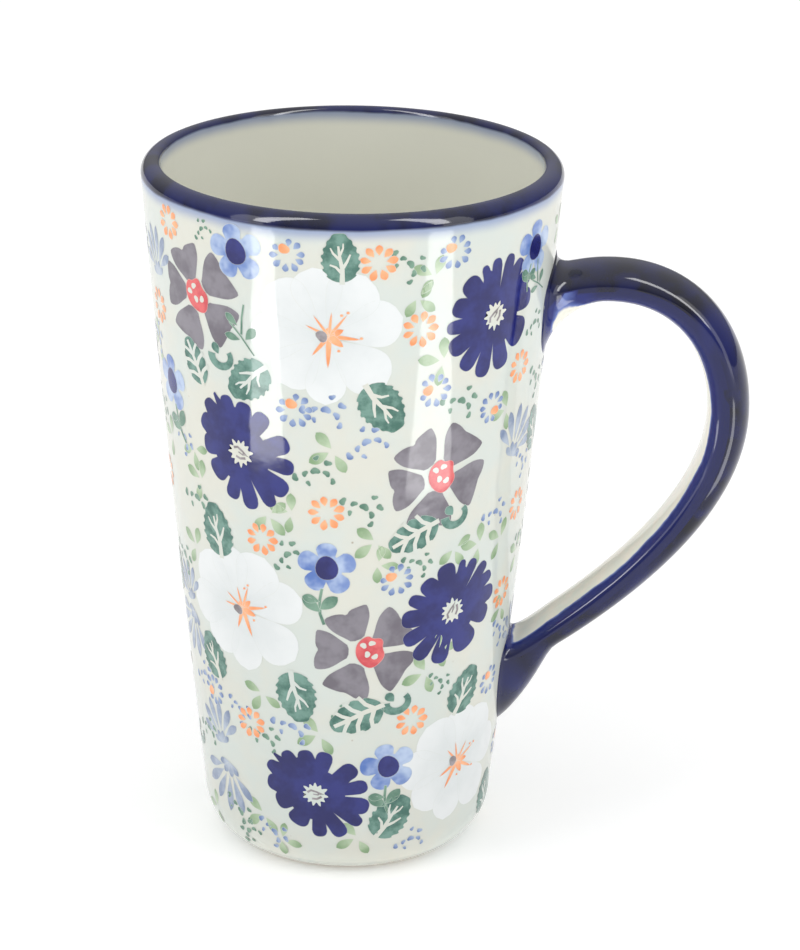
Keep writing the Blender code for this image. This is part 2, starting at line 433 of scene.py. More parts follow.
def mix_handle_glaze():
    finish = Finish("cobalt_glaze_handle", GLOSS, IOR=GLAZE_IOR)
    cloud = finish.fade(finish.noise(CLOUD_SIZE, 2, 0.5, 0.4), 0.34, 0.72)
    streak = finish.fade(finish.noise(STREAK_SIZE, 2), 0.35, 0.75, 0.0, 0.35)
    thin = finish.math("MAXIMUM", finish.math("MULTIPLY", cloud, 0.6), streak)
    near_edge = finish.fade(finish.layer("cream_side"), -3.4, -0.6, 0.0, 1.0)
    thin = finish.math("MAXIMUM", thin, near_edge)
    cobalt = finish.blend(thin, COBALT_THICK, COBALT_THIN)
    wander = finish.math("SUBTRACT", finish.noise(GRIP_WANDER_SIZE, 3), 0.5)
    wander = finish.math("MULTIPLY", wander, GRIP_WANDER_MM)
    side = finish.math("ADD", finish.layer("cream_side"), wander)
    watery = finish.blend(finish.fade(side, -0.5, 0.1), cobalt, COBALT_WATERY)
    mottle = finish.fade(finish.noise(GRIP_MOTTLE_SIZE, 3), 0.3, 0.7)
    # The inner face: cream mixed lighter than on the wall, which is painted light.
    inner_cream_painted_light = finish.blend(mottle, CREAM_GRIP_PAINTED_LIGHT, CREAM_INSIDE)
    finish.colour(finish.blend(finish.fade(side, -0.05, 0.35), watery, inner_cream_painted_light))
    glaze_waves(finish)
    return finish.material


handle_glaze = mix_handle_glaze()
print("handle glaze mixed from", len(handle_glaze.node_tree.nodes), "nodes")

# %% [markdown]
# ## The handle
# The potter pulls a strap of clay, bends it and lutes both ends to the wall with slip. By hand in
# Blender, a ring shaped like the strap's section is extruded along the handle's side view, and
# each new ring is turned and stretched on its way. Near the wall the rings lean over until they
# lie along it and spread, which makes the swollen roots that a thumb smooths down.

# %% The handle's measures
REACH = 39.0 * MM
STRAP_WIDTH = 15.0 * MM
UPPER_THICK, BOW_THICK, LOWER_THICK = 8.4 * MM, 9.2 * MM, 7.2 * MM
UPPER_HEIGHT = MUG_HEIGHT - 27.3 * MM
BOW_HEIGHT = MUG_HEIGHT - 54.7 * MM
LOWER_HEIGHT = 42.5 * MM
UPPER_WAY, LOWER_WAY = radians(18), radians(33)
UPPER_PULL, LOWER_PULL = 25.7 * MM, 25.5 * MM
BOW_PULL_UP, BOW_PULL_DOWN = 20.6 * MM, 22.9 * MM
INTO_WALL = 2.4 * MM
ARM_STEPS = 44
CROWD_RINGS = 1.45


def eased(share):
    share = min(max(share, 0), 1)
    return share * share * (3 - 2 * share)


def quarter_round(distance, length):
    """1 on the wall, falling to 0 at a length from it, as a quarter circle does."""
    share = min(max(distance / length, 0), 1)
    return 1 - sqrt(1 - (1 - share) ** 2)


def sweep(start, first, second, end, share):
    """A point on the curve from start to end, which two more points pull out."""
    rest = 1 - share
    near_start = start * rest**3 + first * 3 * rest**2 * share
    return near_start + second * 3 * rest * share**2 + end * share**3


print("the strap leaves the wall", round(UPPER_HEIGHT / MM, 1), "mm up")


# %% The side view: places and half thicknesses along the strap
def strap_line():
    """(distance from the cup's axis, height), and half a thickness, from root to root."""
    upper = Vector((wall_radius(UPPER_HEIGHT), UPPER_HEIGHT))
    lower = Vector((wall_radius(LOWER_HEIGHT), LOWER_HEIGHT))
    bow = Vector((upper.x + REACH, BOW_HEIGHT))
    out_upper = Vector((cos(UPPER_WAY), sin(UPPER_WAY)))
    out_lower = Vector((cos(LOWER_WAY), sin(LOWER_WAY)))
    up = Vector((0, 1))
    line = [(upper - out_upper * INTO_WALL, UPPER_THICK / 2)]
    for step in between(0, 1, ARM_STEPS)[:-1]:
        share = step**CROWD_RINGS
        place = sweep(upper, upper + out_upper * UPPER_PULL, bow + up * BOW_PULL_UP, bow, share)
        line.append((place, (UPPER_THICK + (BOW_THICK - UPPER_THICK) * eased(share)) / 2))
    for step in between(0, 1, ARM_STEPS):
        share = 1 - (1 - step) ** CROWD_RINGS
        place = sweep(bow, bow - up * BOW_PULL_DOWN, lower + out_lower * LOWER_PULL, lower, share)
        line.append((place, (BOW_THICK + (LOWER_THICK - BOW_THICK) * eased(share)) / 2))
    line.append((lower - out_lower * INTO_WALL, LOWER_THICK / 2))
    return line


# %% Each ring's lean and size
wall_slope = (RIM_RADIUS - HEEL_RADIUS) / (WALL_TOP - HEEL_HEIGHT)
up_the_wall = Vector((wall_slope, 1)).normalized()
ROOT_LEAN = 14 * MM
UPPER_ROOT_RISE, UPPER_ROOT_DROP = 3.6 * MM, 11.0 * MM
LOWER_ROOT_DROP, LOWER_ROOT_RISE = 12.2 * MM, 3.0 * MM
LOWER_SWELL = 9.2 * MM
UPPER_SIDE_SWELL, LOWER_SIDE_SWELL, SIDE_SWELL_FROM = 4.0 * MM, 2.0 * MM, 6.5 * MM


def strap_rings():
    """Every ring as (place, direction across the strap, outer, inner and side half widths)."""
    line = strap_line()
    rings = []
    for i, (place, half) in enumerate(line):
        way = (line[min(i + 1, len(line) - 1)][0] - line[max(i - 1, 0)][0]).normalized()
        off_wall = place.x - wall_radius(place.y)
        if i < len(line) / 2:
            along_wall = up_the_wall
            outer = half + UPPER_ROOT_RISE * quarter_round(off_wall, UPPER_ROOT_RISE)
            inner = half + UPPER_ROOT_DROP * quarter_round(off_wall, UPPER_ROOT_DROP)
            swell = UPPER_SIDE_SWELL
        else:
            along_wall = -up_the_wall
            outer = half + LOWER_ROOT_DROP * eased(1 - off_wall / LOWER_SWELL)
            inner = half + LOWER_ROOT_RISE * quarter_round(off_wall, LOWER_ROOT_RISE)
            swell = LOWER_SIDE_SWELL
        side = STRAP_WIDTH / 2 + swell * quarter_round(off_wall, SIDE_SWELL_FROM)
        lean = eased(1 - off_wall / ROOT_LEAN)
        across = Vector((-way.y, way.x)).lerp(along_wall, lean).normalized()
        middle = Vector((axis_x + place.x, 0, place.y))
        rings.append((middle, Vector((across.x, 0, across.y)), outer, inner, side))
    return rings


rings = strap_rings()
print(len(rings), "rings; widest root", round(2 * max(ring[4] for ring in rings) / MM, 1), "mm")

# %% The first ring: rounded outside, squarer inside
RING_POINTS = 56
SQUARENESS = 0.72
place, across, outer, inner, side = rings[0]
work_on()
bpy.ops.mesh.primitive_circle_add(vertices=RING_POINTS, radius=1, location=place)
ring_piece = bpy.context.object
edit()
shape = bmesh.from_edit_mesh(ring_piece.data)
for vertex in shape.verts:
    width, rise = vertex.co.x, vertex.co.y
    if rise < 0:
        rise = -(abs(rise) ** SQUARENESS)
        width = width / max(abs(width), 0.000001) * abs(width) ** SQUARENESS
    reach = outer if rise > 0 else inner
    vertex.co = across * rise * reach + Vector((0, width * side, 0))
bmesh.update_edit_mesh(ring_piece.data)
bpy.ops.object.mode_set(mode="OBJECT")
settle()
edit()
bpy.ops.mesh.edge_face_add()
select_all()


# %% Extrude it from place to place
def stretch(direction, factor, about, points):
    """Scales the chosen points by a factor along one direction."""
    for vertex in points:
        away = (vertex.co - about).dot(direction)
        vertex.co += direction * away * (factor - 1)


for before, after in zip(rings, rings[1:]):
    bpy.ops.mesh.extrude_region_move(TRANSFORM_OT_translate={"value": after[0] - before[0]})
    turn = atan2(before[1].z, before[1].x) - atan2(after[1].z, after[1].x)
    shape = bmesh.from_edit_mesh(ring_piece.data)
    ring = [vertex for vertex in shape.verts if vertex.select]
    bmesh.ops.rotate(shape, verts=ring, cent=after[0], matrix=Matrix.Rotation(turn, 3, "Y"))
    outside = [vertex for vertex in ring if (vertex.co - after[0]).dot(after[1]) > 0]
    inside = [vertex for vertex in ring if (vertex.co - after[0]).dot(after[1]) < 0]
    stretch(after[1], after[2] / before[2], after[0], outside)
    stretch(after[1], after[3] / before[3], after[0], inside)
    stretch(Vector((0, 1, 0)), after[4] / before[4], after[0], ring)
    bmesh.update_edit_mesh(ring_piece.data)
select_all()
bpy.ops.mesh.normals_make_consistent(inside=False)
handle = finish_shape("handle_skin", handle_glaze)


# %% Press the roots round the wall, and mark out the cream inner face
ROOT_HUGS_WALL = 7 * MM
GRIP_HALF_WIDTH, GRIP_FLARE, FLARE_FROM, BESIDE_WALL, OUTER_SIDE = 5.3, 3.2, 9, 1.0, 3


def press_round(vertex):
    """The wall curves away at the sides of a root, so the root's sides follow it."""
    radius = wall_radius(vertex.co.z)
    off_wall = vertex.co.x - axis_x - radius
    sag = radius - sqrt(max(radius * radius - vertex.co.y * vertex.co.y, 0))
    vertex.co.x -= sag * eased(1 - off_wall / ROOT_HUGS_WALL)


for vertex in handle.data.vertices:
    press_round(vertex)


def cream_side(place):
    """Millimetres inside the cream inner face, and negative outside it."""
    ring = min(rings, key=lambda ring: (Vector((place.x, 0, place.z)) - ring[0]).length)
    rise = (place - ring[0]).dot(ring[1])
    wall_gap = (place.x - axis_x - wall_radius(place.z)) / MM - BESIDE_WALL
    flare = min(max(1 - wall_gap / FLARE_FROM, 0), 1) * GRIP_FLARE if place.z > BOW_HEIGHT else 0
    from_side = GRIP_HALF_WIDTH + flare - abs(place.y) / MM
    return min(from_side, wall_gap) if rise < 0 else min(from_side, 0) - OUTER_SIDE


carry(handle, "cream_side", cream_side)
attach(handle, "root")
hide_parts("handle", "upper_slip_joint", "lower_slip_joint")
print("handle:", len(handle.data.polygons), "faces")

# %% [markdown]
# ## The paints
# The flowers are stamped and brushed on the raw clay before it is glazed. Each colour is its own
# layer here: a skin of dabs laid a few hundredths of a millimetre over the wall. A dab carries
# two values of its own. One says how near its edge a point is, so that the colour thins out
# there, and the other how far along the stroke it is, where the wet paint gathers.

# %% Mix a paint
def mix_paint(name, thin, thick, mottle_size, edge_strength, pull):
    """A paint from its thin colour, at the start of a stroke, to its thick one, where it pools."""
    finish = Finish(name, GLOSS, IOR=GLAZE_IOR)
    mottle = finish.fade(finish.noise(mottle_size, 3, 0.6), 0.3, 0.7)
    along = finish.math("MULTIPLY", finish.layer("along"), pull)
    depth = finish.math("ADD", along, finish.math("MULTIPLY", mottle, 1 - pull))
    paint = finish.blend(finish.fade(depth, 0.05, 0.95), tint(*thin), tint(*thick))
    edge = finish.fade(finish.layer("edge"), 0.0, 0.9, 1 - edge_strength, 1.0)
    finish.colour(finish.blend(edge, cream_colour(finish), paint))
    glaze_waves(finish)
    return finish.material


RECIPES = {
    "cobalt_paint": ((40, 46, 120), (26, 28, 92), 150, 0.5, 0.2),
    "white_paint": ((211, 216, 216), (226, 229, 229), 120, 0.5, 0.75),
    "grey_paint": ((134, 130, 138), (106, 101, 110), 170, 0.35, 0.25),
    "grey_line_paint": ((160, 154, 158), (122, 114, 116), 300, 0.6, 0.3),
    "red_paint": ((224, 108, 108), (202, 74, 82), 300, 0.5, 0.3),
    "orange_paint": ((246, 182, 138), (240, 144, 90), 300, 0.8, 0.6),
    "sky_blue_paint": ((184, 201, 226), (84, 116, 184), 150, 0.8, 0.35),
    "dab_blue_paint": ((160, 178, 208), (96, 120, 170), 300, 0.85, 0.7),
    "plume_paint": ((182, 193, 208), (118, 134, 164), 240, 0.7, 0.6),
    "leaf_green_paint": ((114, 152, 140), (62, 106, 94), 330, 0.6, 0.25),
    "sprig_green_paint": ((184, 202, 172), (128, 158, 118), 220, 0.8, 0.7),
    "dot_green_paint": ((124, 158, 138), (78, 118, 100), 300, 0.7, 0.5),
    "cream_lines": (CREAM_WARM, CREAM_COOL, MOTTLE_SIZE, 0, 0),
}
paints = {name: mix_paint(name, *recipe) for name, recipe in RECIPES.items()}
print(len(paints), "paints")

# %% [markdown]
# ## One dab
# A dab starts as a flat disc lying on the table. Its points are pulled to the outline of the
# stroke, and Inset draws a second outline just inside, which marks where the paint reaches its
# full strength. Outlines are in millimetres, with the stroke's foot at the origin.

# %% Outlines of strokes
def spin_points(points, turn=0, right=0, up=0):
    """Turns an outline, in degrees, and moves it."""
    c, s = cos(radians(turn)), sin(radians(turn))
    return [(x * c - y * s + right, x * s + y * c + up) for x, y in points]


def drop(length, width, fullest=0.62, blunt=0.7, count=20):
    """A teardrop that stands on its narrow foot."""
    power = log(0.5) / log(fullest)
    left, right = [], []
    for step in range(1, count // 2):
        share = step / (count // 2)
        half = width / 2 * sin(pi * share**power) ** blunt
        left.append((-half, share * length))
        right.append((half, share * length))
    return [(0, 0)] + right + [(0, length)] + left[::-1]


def fan(drops, out=0, fullest=0.6, blunt=0.7, count=20):
    """Drops given as (angle, length, width), which stand out from one middle."""
    made = []
    for angle, length, width in drops:
        outline = spin_points(drop(length, width, fullest, blunt, count), up=out)
        made.append(spin_points(outline, angle - 90))
    return made


def touches(drops, fullest=0.6):
    """Drops given as (length, width, turn, right, up), each in a place of its own."""
    return [spin_points(drop(long, wide, fullest), *place) for long, wide, *place in drops]


def lobes(core, petals, steepness=2.6, per_petal=16):
    """A flower's outline: each petal is (angle, reach, half width in degrees) round a core."""
    points = []
    for step in range(len(petals) * per_petal):
        angle = 360 * step / (len(petals) * per_petal)
        radius = core
        for where, reach, half in petals:
            off = abs((angle - where + 180) % 360 - 180) / half
            if off < 1:
                swell = (1 - off**steepness) ** (1 / steepness)
                radius = max(radius, core + (reach - core) * swell)
        points.append((radius * cos(radians(angle)), radius * sin(radians(angle))))
    return points


def rounded(points, rounds=1):
    """Cuts off every corner of a rough outline, which rounds it."""
    for _ in range(rounds):
        cut = []
        for (x0, y0), (x1, y1) in zip(points, points[1:] + points[:1]):
            cut += [(0.75 * x0 + 0.25 * x1, 0.75 * y0 + 0.25 * y1)]
            cut += [(0.25 * x0 + 0.75 * x1, 0.25 * y0 + 0.75 * y1)]
        points = cut
    return points


def blot(radius, wobble, seed, count=14, right=0, up=0):
    """A round dot that isn't quite round."""
    points = []
    for step in range(count):
        angle = 2 * pi * step / count
        uneven = wobble * sin(2 * angle + seed * 1.7) + wobble * 0.6 * sin(3 * angle + seed * 2.9)
        reach = radius * (1 + uneven)
        points.append((reach * cos(angle) + right, reach * sin(angle) + up))
    return points


def stroke(start_width, end_width, *path):
    """A brush line along a path of points, from one width to another."""
    left, right = [], []
    for i, (x, y) in enumerate(path):
        ahead, behind = path[min(i + 1, len(path) - 1)], path[max(i - 1, 0)]
        run, rise = ahead[0] - behind[0], ahead[1] - behind[1]
        long = hypot(run, rise)
        half = (start_width + (end_width - start_width) * i / (len(path) - 1)) / 2
        left.append((x - rise / long * half, y + run / long * half))
        right.append((x + rise / long * half, y - run / long * half))
    return right + left[::-1]


print("a teardrop has", len(drop(2, 1)), "points")

# %% From an outline to a dab, and from dabs to a stamp
PAINT_RIM = 0.16 * MM
stamps = {}


def make_dab(outline):
    """A disc pulled to an outline, with a rim inset; it carries 'edge' and 'along'."""
    following = outline[1:] + outline[:1]
    if sum(x0 * y1 - x1 * y0 for (x0, y0), (x1, y1) in zip(outline, following)) < 0:
        outline = outline[:1] + outline[:0:-1]
    work_on()
    bpy.ops.mesh.primitive_circle_add(vertices=len(outline), radius=MM, fill_type="NGON")
    dab = bpy.context.object
    for vertex, (x, y) in zip(dab.data.vertices, outline):
        vertex.co = (x * MM, y * MM, 0)
    edit()
    bpy.ops.mesh.inset(thickness=PAINT_RIM)
    bpy.ops.object.mode_set(mode="OBJECT")
    foot = outline[0]
    tip = max(outline, key=lambda point: hypot(point[0] - foot[0], point[1] - foot[1]))
    long = hypot(tip[0] - foot[0], tip[1] - foot[1]) * MM
    way = Vector(((tip[0] - foot[0]) * MM / long, (tip[1] - foot[1]) * MM / long, 0))
    start = Vector((foot[0] * MM, foot[1] * MM, 0))
    carry(dab, "along", lambda place: min(max((place - start).dot(way) / long, 0), 1))
    edges = dab.data.attributes.new("edge", "FLOAT", "POINT")
    for index, point in enumerate(edges.data):
        point.value = 0 if index < len(outline) else 1
    return dab


def make_stamp(name, dabs, steps=0.0):
    """Joins dabs into one flat stamp. Each dab lies a step above the one before it."""
    made = []
    for i, outline in enumerate(dabs):
        dab = make_dab(outline)
        for vertex in dab.data.vertices:
            vertex.co.z = i * steps * MM
        made.append(dab)
    work_on(*made)
    if len(made) > 1:
        bpy.ops.object.join()
    stamp = bpy.context.object
    stamp.name = name
    stamps[name] = stamp


# %% [markdown]
# ## Pressing stamps on the wall
# A stamp is copied to its place, turned, and wrapped: a millimetre across it is a millimetre
# round the wall. The paint is shaded as the wall is, so that a reflection runs over it without a
# break. The bunch on the front is painted again on the back, half a turn round.

# %% Cut a stamp into strips, so that it can bend round the wall
STRIP = 1.5 * MM


def cut_strips(stamp, height):
    """Upright strips everywhere, and level ones too where the stamp reaches over the heel."""
    half = max(vertex.co.xy.length for vertex in stamp.data.vertices)
    cuts = range(-int(half / STRIP), int(half / STRIP) + 1)
    edit()
    for cut in cuts:
        select_all()
        bpy.ops.mesh.bisect(plane_co=(cut * STRIP, 0, 0), plane_no=(1, 0, 0))
        if height - half < HEEL_HEIGHT:
            select_all()
            bpy.ops.mesh.bisect(plane_co=(0, cut * STRIP, 0), plane_no=(0, 1, 0))
    bpy.ops.object.mode_set(mode="OBJECT")


# %% Wrap copies of a stamp
BUNCH_RAISED = 0.8
SLOPE_STEP = 0.2 * MM


def painted_radius(height):
    """The wall's radius, or the rounded heel's where a leaf reaches down over it."""
    if height >= HEEL_HEIGHT:
        return wall_radius(height)
    drop_share = min((HEEL_HEIGHT - height) / HEEL_HEIGHT, 1)
    return FOOT_RADIUS + (HEEL_RADIUS - FOOT_RADIUS) * sqrt(1 - drop_share**2)


pressed = {name: [] for name in paints}


def press(paint, stamp, lift, places):
    """Presses a stamp, lift mm off the wall, at each (degrees round, mm up, turn, size)."""
    behind = [(degrees + 180, *rest) for degrees, *rest in places]
    for degrees, height, turn, size in places + behind:
        copy = stamps[stamp].copy()
        copy.data = copy.data.copy()
        bpy.context.scene.collection.objects.link(copy)
        work_on(copy)
        sized = Matrix.Diagonal((size, size, 1, 1))
        copy.data.transform(Matrix.Rotation(radians(turn), 4, "Z") @ sized)
        middle = (height + BUNCH_RAISED) * MM
        cut_strips(copy, middle)
        for vertex in copy.data.vertices:
            right, up, above = vertex.co
            level = middle + up
            radius = painted_radius(level)
            angle = radians(degrees) + right / radius
            radius += lift * MM + above
            vertex.co = (axis_x + radius * sin(angle), -radius * cos(angle), level)
        pressed[paint].append(copy)


def gather(name, paint):
    """Joins every pressed copy of one paint into one piece, and shades it as the wall."""
    copies = pressed[paint]
    work_on(*copies)
    bpy.ops.object.join()
    piece = finish_shape(name, paints[paint])
    normals = []
    for vertex in piece.data.vertices:
        across = Vector((vertex.co.x - axis_x, vertex.co.y, 0)).normalized()
        above, below = vertex.co.z + SLOPE_STEP, vertex.co.z - SLOPE_STEP
        tilt = atan2(painted_radius(above) - painted_radius(below), 2 * SLOPE_STEP)
        normals.append(across * cos(tilt) - Vector((0, 0, sin(tilt))))
    piece.data.normals_split_custom_set_from_vertices(normals)
    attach(piece, "root")
    print(name, "has", len(piece.data.polygons), "faces")


# %% [markdown]
# ## Cobalt daisies
# The biggest flowers are daisies of deep cobalt, filled in with a full brush. Their petals are of
# uneven length and width, and the gaps reach about half-way in. One closed outline makes the
# whole flower, so no petal overlaps its neighbour. The open middle is cream, with a jagged edge,
# and is laid over the cobalt with a squiggle of grey in it.

# %% Cobalt daisies
daisy_one = lobes(7.2, [
    (20, 12.6, 14), (-7, 12.8, 12), (-35, 13.2, 14), (-56, 13.4, 10), (-80, 13, 12),
    (-105, 11.8, 12), (-140, 10.4, 19), (180, 10.6, 17), (152, 12.4, 15), (131, 13.8, 11),
    (117, 14.2, 4), (105, 13.2, 11), (82, 12.2, 13), (57, 12.2, 13),
], 2.8)
daisy_two = lobes(7.4, [
    (8, 12.4, 15), (34, 13.4, 13), (56, 13.4, 10), (74, 13.6, 9), (93, 13, 9), (109, 12.6, 7),
    (132, 12.8, 15), (160, 12.2, 14), (184, 12.6, 10), (208, 13, 14), (234, 13.4, 12),
    (258, 13.8, 12), (285, 13.2, 14), (325, 12.2, 22),
], 2.8)
open_middle = lobes(2.3, [
    (10, 3.4, 12), (42, 3, 10), (70, 3.3, 10), (96, 3, 10), (125, 3.5, 11), (155, 3.1, 10),
    (182, 3.3, 10), (212, 3, 10), (240, 3.3, 11), (270, 3.5, 10), (300, 3, 10), (332, 3.2, 11),
], steepness=1.2, per_petal=10)
make_stamp("daisy_one", [daisy_one])
make_stamp("daisy_two", [daisy_two])
make_stamp("open_middle", [open_middle])
curl = [(-1.7, 1), (-0.6, 1.3), (0.6, 0.5), (1.5, -0.2), (0.6, -0.3), (-0.5, 0.2)]
squiggles = [stroke(0.7, 0.4, *curl), stroke(0.6, 0.7, (-1.2, -0.9), (-0.1, -1.3), (1.3, -1))]
make_stamp("squiggle", squiggles)
ONE = [(-30, 101, 0, 0.98), (-8, 21, 20, 0.92)]
TWO = [(47, 131, 0, 0.98), (40, 64, -28, 0.95)]
SQUIGGLES = ONE + [(47, 131, 75, 1), (40, 64, 90, 1)]
press("cobalt_paint", "daisy_one", 0.045, ONE)
press("cobalt_paint", "daisy_two", 0.045, TWO)
press("cream_lines", "open_middle", 0.06, ONE + TWO)
press("grey_line_paint", "squiggle", 0.07, SQUIGGLES)

# %% [markdown]
# ## White daisies
# The white flowers are broad petals of thin white slip, each laid over the edge of the last, so
# the overlaps show as faint steps. A star of thin orange rays marks the middle, with a grey-brown
# berry pressed beside it.

# %% White daisies
white_petals = [
    (14, 16.4, 10.4), (58, 15.6, 11.4), (100, 15, 10.8), (141, 15.8, 11.6),
    (186, 16.6, 10.6), (229, 14.8, 10.2), (270, 15.4, 8.6), (318, 16.6, 10.8),
]
make_stamp("white_daisy", fan(white_petals, 0, 0.70, 0.60, 34), steps=0.002)
rays = fan([
    (-6, 6.6, 1), (26, 3.4, 1.7), (52, 6.2, 0.7), (84, 5.4, 0.7), (126, 5.6, 0.65),
    (156, 5.4, 0.7), (232, 5.8, 1), (268, 7.2, 1.2), (322, 3.8, 1.8),
], 0, 0.3, 0.55, 12)
specks = [blot(0.38, 0.1, 1, 8, x, y) for x, y in ((2.6, 4.6), (3.9, 5.2), (2, -3.2), (6.6, -0.4))]
make_stamp("orange_star", [blot(1.5, 0.2, 3)] + rays + specks, steps=0.001)
make_stamp("berry", [blot(1.25, 0.12, 2, right=-1.5, up=-0.1)])
WHITE = [(-3, 130, 0, 1), (-34, 64, 4, 0.98), (49, 25, -10, 0.94)]
STARS = [(-2, 130, 0, 1), (-33, 64, 20, 0.95), (49, 25, -25, 0.95)]
press("white_paint", "white_daisy", 0.025, WHITE)
press("orange_paint", "orange_star", 0.065, STARS)
press("grey_line_paint", "berry", 0.08, STARS)

# %% [markdown]
# ## Grey flowers with a red berry
# Five stencilled petals of grey are wedges that widen outward and end in a wavy edge, each a
# little apart from the next. The red berry in the middle has four pale seeds.

# %% Grey flowers
# Corners of a wedge, as shares of its half width and its length, up one side and down the other.
RIGHT_SIDE = [
    (0.54, 0.46), (0.80, 0.62), (0.98, 0.76), (1.06, 0.94), (1.02, 1.02), (0.62, 1.03), (0.22, 1.02),
]
LEFT_SIDE = [
    (-0.20, 1), (-0.56, 1.04), (-1, 1.02), (-1.07, 0.93), (-0.98, 0.74), (-0.76, 0.58), (-0.50, 0.44),
]


def wedge_petal(long, wide, notch, turn):
    """A wedge of paint whose outer edge dips by a notch."""
    half = wide / 2
    right = [(half * x, long * y) for x, y in RIGHT_SIDE]
    left = [(half * x, long * y) for x, y in LEFT_SIDE]
    return spin_points(rounded([(-1.4, 3.2), (1.4, 3.2)] + right + [(0, long - notch)] + left), turn)


grey_petals = [
    (10.4, 9.4, 0.7, 23), (10.8, 10, -0.1, -52), (10.2, 9.2, 0.5, 88), (10.8, 9.8, 0.1, 158),
    (10.6, 9.8, -0.1, 236),
]
make_stamp("grey_flower", [wedge_petal(*petal) for petal in grey_petals])
heart = [
    (-0.4, 3.6), (0.6, 3.5), (1.4, 2.2), (2.8, 1.4), (3.3, 0), (2.9, -2.6), (1, -3.2), (-1.4, -2.6),
    (-3, -0.8), (-3.2, 1), (-2.6, 2.6), (-1.4, 2.6),
]
make_stamp("red_berry", [rounded(heart, 2)])
seed_places = [(-0.9, 1.7), (-1.9, 0.3), (0, -0.7), (1.5, -0.2)]
seeds = [blot(0.62, 0.15, n, 14, x, y) for n, (x, y) in enumerate(seed_places)]
make_stamp("seeds", seeds)
GREY = [(-43, 134, 0, 1), (31, 97, 14, 1.02), (9, 57, 0, 1)]
HEARTS = [(-43, 134, -8, 1.1), (32, 97, -38, 1.1), (11, 57, -40, 1.1)]
press("grey_paint", "grey_flower", 0.030, GREY)
press("red_paint", "red_berry", 0.07, HEARTS)
press("cream_lines", "seeds", 0.085, HEARTS)

# %% [markdown]
# ## Forget-me-nots
# Small flowers of watery blue have five lobes and a cobalt eye, and stand on a thin green stem
# with a leaf or two.

# %% Blue flowers, their eyes and stems
five = lobes(3.4, [(18, 6.4, 33), (90, 6, 33), (160, 6.5, 33), (232, 6.2, 33), (305, 6.6, 33)], 2.2, 14)
make_stamp("blue_flower", [five])
eye = [(x * 0.88, y * 1.12) for x, y in blot(2.7, 0.05, 1, 20)]
make_stamp("cobalt_eye", [eye])
stem = stroke(0.7, 0.8, (0, -5), (0.1, -8), (0.8, -11), (2.2, -13.4))
stem_leaves = touches([(5.2, 2.6, 62, 0.8, -10.6), (5, 2.8, -38, 0.6, -10)], 0.55)
stem_leaves += touches([(4, 2.2, 88, 0.2, -8.2)])
make_stamp("stem", [stem] + stem_leaves, steps=0.001)
SKY = [(-28, 146, 10, 1), (63, 143, 0, 1), (-61, 111, 0, 1), (-3, 77, 0, 1), (19, 28, 15, 0.98)]
STEMS = [(-61, 111, 10, 1), (-3, 77, -12, 1), (19, 28, -5, 0.95), (63, 143, -20, 0.7)]
press("sky_blue_paint", "blue_flower", 0.05, SKY)
press("cobalt_paint", "cobalt_eye", 0.075, SKY)
press("dot_green_paint", "stem", 0.055, STEMS)

# %% [markdown]
# ## Rings of dabs
# Two tiny flowers are only rings of dabs. The orange one has nine drops round nothing, and the
# blue one has paler dabs, with a gap, and an orange dot that sits off its middle.

# %% Orange rings and blue rings
orange_drops = [
    (0, 2.6, 1.8), (38, 2.5, 1.7), (80, 2.4, 1.7), (120, 2.6, 1.6), (160, 2.5, 1.5),
    (200, 2.6, 1.6), (240, 2.7, 1.7), (282, 2.6, 1.8), (322, 2.5, 1.7),
]
make_stamp("orange_ring", fan(orange_drops, out=1.5))
blue_drops = [
    (5, 2.1, 1.5), (45, 2.2, 1.6), (82, 1.9, 1.5), (150, 1.9, 1.5), (185, 2.3, 1.5),
    (222, 2.3, 1.6), (262, 2.1, 1.6), (300, 2.3, 1.6), (335, 2.1, 1.5),
]
make_stamp("blue_ring", fan(blue_drops, 1.9, 0.62))
make_stamp("orange_dot", [blot(1.25, 0.1, 5, right=-0.7, up=1.3)])
ORANGE_RINGS = [
    (-54, 148, 0, 0.95), (11, 146, 10, 1), (23, 131, 40, 1), (61, 117, 0, 0.95), (-3, 90, 20, 1),
    (-24, 82, 0, 0.95), (70, 83, 30, 0.95), (66, 63, 0, 0.95), (-33, 36, 15, 0.95), (27, 39, 0, 0.95),
    (-66, 127, 0, 1), (-76, 87, 30, 1),
]
BLUE_RINGS = [
    (-13, 147, 0, 0.95), (32, 147, 20, 0.95), (28, 117, 60, 0.95), (49, 110, 200, 0.9),
    (-12, 113, 0, 1), (19, 74, 30, 0.95), (64, 42, 0, 0.9), (-52, 40, 90, 0.9), (-80, 139, 0, 0.95),
    (84, 22, 0, 0.95),
]
press("orange_paint", "orange_ring", 0.05, ORANGE_RINGS)
press("dab_blue_paint", "blue_ring", 0.045, BLUE_RINGS)
press("orange_paint", "orange_dot", 0.06, BLUE_RINGS)

# %% [markdown]
# ## Leaves
# Dark leaves have a toothed edge, and the midrib and veins are left cream. A second kind is
# parted by wider cream veins, which run out to its edge, and has a hooked bean beside it.

# %% Toothed leaves with cream veins
def toothed(length, width, teeth):
    """A leaf outline whose edge is cut into teeth that point to its tip."""
    side = []
    for tooth in range(teeth):
        for share, depth in ((tooth / teeth, 0.86), ((tooth + 0.72) / teeth, 1.06)):
            half = width / 2 * sin(pi * (0.06 + 0.9 * share) ** 0.8) ** 0.7
            side.append((half * depth, length * (share + 0.03)))
    left = [(-x, y) for x, y in side[::-1]]
    return spin_points(rounded([(0, 0)] + side + [(0, length)] + left), up=-length / 2)


